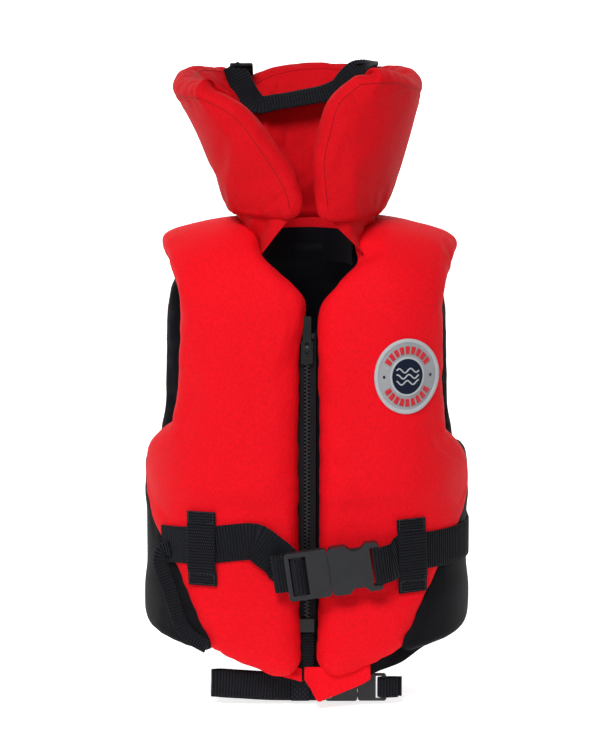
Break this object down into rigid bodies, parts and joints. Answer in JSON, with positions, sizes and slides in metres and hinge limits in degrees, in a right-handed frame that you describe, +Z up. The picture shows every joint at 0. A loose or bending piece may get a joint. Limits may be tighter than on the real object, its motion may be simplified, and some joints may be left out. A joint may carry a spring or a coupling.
{
  "type": "life jacket",
  "caption": "Child's foam life jacket with zip front, side-release waist belt, padded head-support collar, grab handle and crotch strap.",
  "frame": {"origin": "centre of the space for the wearer's torso, level with the front hem", "axes": "+Z up towards the head, -Y out of the front zip, +X towards the wearer's left"},
  "size_m": [0.3383, 0.2624, 0.65],
  "materials": {
    "red_nylon": "coated woven nylon, satin",
    "black_nylon": "coated woven nylon, satin",
    "lining": "smooth black woven lining",
    "foam": "closed-cell foam sheet",
    "webbing": "ribbed polypropylene webbing",
    "zip_tape": "woven zip tape",
    "zip_plastic": "moulded acetal",
    "zip_metal": "black enamelled die casting",
    "buckle_plastic": "satin moulded acetal",
    "patch_twill": "light grey twill",
    "patch_navy": "navy twill"
  },
  "bodies": {
    "torso": {"left_front_cover": "red_nylon", "right_front_cover": "red_nylon", "back_cover": "red_nylon", "left_shoulder_yoke": "red_nylon", "right_shoulder_yoke": "red_nylon", "neck_gusset": "red_nylon", "left_hem_band": "red_nylon", "right_hem_band": "red_nylon", "hem_band_back": "red_nylon", "left_side_insert": "black_nylon", "right_side_insert": "black_nylon", "left_hem_liner": "black_nylon", "right_hem_liner": "black_nylon", "zip_placket": "black_nylon", "left_front_lining": "lining", "right_front_lining": "lining", "back_lining": "lining", "left_front_foam_outer": "foam", "left_front_foam_inner": "foam", "right_front_foam_outer": "foam", "right_front_foam_inner": "foam", "back_foam_outer": "foam", "back_foam_inner": "foam", "left_belt_webbing": "webbing", "right_belt_webbing": "webbing", "belt_side_strap": "webbing", "left_belt_loop": "webbing", "right_belt_loop": "webbing", "left_belt_loop_back": "webbing", "right_belt_loop_back": "webbing", "hem_tab": "webbing", "left_zip_tape": "zip_tape", "right_zip_tape": "zip_tape", "left_zip_teeth": "zip_plastic", "right_zip_teeth": "zip_plastic", "zip_box": "zip_plastic", "zip_top_stops": "zip_plastic", "buckle_female": "buckle_plastic", "patch_base": "patch_twill", "patch_border": "patch_twill", "patch_centre": "patch_navy"},
    "zip_slider": {"zip_slider_body": "zip_metal"},
    "zip_pull": {"zip_pull_tab": "zip_metal"},
    "buckle_male": {"buckle_male_frame": "buckle_plastic", "belt_tail": "webbing"},
    "buckle_upper_arm": {"buckle_upper_arm": "buckle_plastic"},
    "buckle_lower_arm": {"buckle_lower_arm": "buckle_plastic"},
    "collar_pillow": {"collar_pillow_cover": "red_nylon", "collar_pillow_foam": "foam", "grab_handle_tabs": "webbing"},
    "collar_right_wing": {"right_wing_cover": "red_nylon", "right_wing_foam": "foam"},
    "collar_left_wing": {"left_wing_cover": "red_nylon", "left_wing_foam": "foam"},
    "grab_handle": {"grab_handle": "webbing"},
    "crotch_strap": {"crotch_webbing": "webbing", "crotch_keeper": "webbing", "crotch_buckle_female": "buckle_plastic"},
    "crotch_buckle": {"crotch_buckle_male": "buckle_plastic", "crotch_anchor": "webbing"}
  },
  "joints": [
    {"name": "zip_slider_travel", "type": "slide", "parent": "torso", "child": "zip_slider", "axis": [0, 0, -1], "range_m": [0, 0.262], "deforming": ["left_zip_teeth", "right_zip_teeth"]},
    {"name": "zip_pull_flip", "type": "hinge", "parent": "zip_slider", "child": "zip_pull", "pos_m": [0, -0.1006, 0.339], "axis": [1, 0, 0], "range_deg": [0, 172]},
    {"name": "buckle_release", "type": "slide", "parent": "torso", "child": "buckle_male", "axis": [-0.9903, 0, -0.1392], "range_m": [0, 0.042], "deforming": ["right_belt_webbing"]},
    {"name": "buckle_upper_squeeze", "type": "hinge", "parent": "buckle_male", "child": "buckle_upper_arm", "pos_m": [0.02103, -0.13, 0.13389], "axis": [0, 1, 0], "range_deg": [0, 7], "stiffness_Nm_per_rad": 0.05},
    {"name": "buckle_lower_squeeze", "type": "hinge", "parent": "buckle_male", "child": "buckle_lower_arm", "pos_m": [0.02576, -0.13, 0.10022], "axis": [0, 1, 0], "range_deg": [-7, 0], "stiffness_Nm_per_rad": 0.05},
    {"name": "collar_tilt", "type": "hinge", "parent": "torso", "child": "collar_pillow", "pos_m": [0, 0.09, 0.45], "axis": [-1, 0, 0], "range_deg": [0, 12], "stiffness_Nm_per_rad": 0.8, "deforming": ["neck_gusset"]},
    {"name": "collar_right_fold", "type": "hinge", "parent": "collar_pillow", "child": "collar_right_wing", "pos_m": [-0.0502, 0.0642, 0.46], "axis": [0.1706, -0.2211, -0.9602], "range_deg": [0, 15], "stiffness_Nm_per_rad": 0.4},
    {"name": "collar_left_fold", "type": "hinge", "parent": "collar_pillow", "child": "collar_left_wing", "pos_m": [0.0502, 0.0642, 0.46], "axis": [0.1706, 0.2211, 0.9602], "range_deg": [0, 15], "stiffness_Nm_per_rad": 0.4},
    {"name": "grab_handle_lift", "type": "hinge", "parent": "collar_pillow", "child": "grab_handle", "pos_m": [0, 0.053, 0.6195], "axis": [-1, 0, 0], "range_deg": [0, 150]},
    {"name": "crotch_strap_swing", "type": "hinge", "parent": "torso", "child": "crotch_strap", "pos_m": [0, -0.0872, -0.001], "axis": [1, 0, 0], "range_deg": [0, 70]},
    {"name": "crotch_buckle_release", "type": "slide", "parent": "crotch_strap", "child": "crotch_buckle", "axis": [1, 0, 0], "range_m": [0, 0.026]}
  ],
  "couplings": [
    {"joint": "buckle_lower_squeeze", "follows": "buckle_upper_squeeze", "ratio": -1}
  ]
}
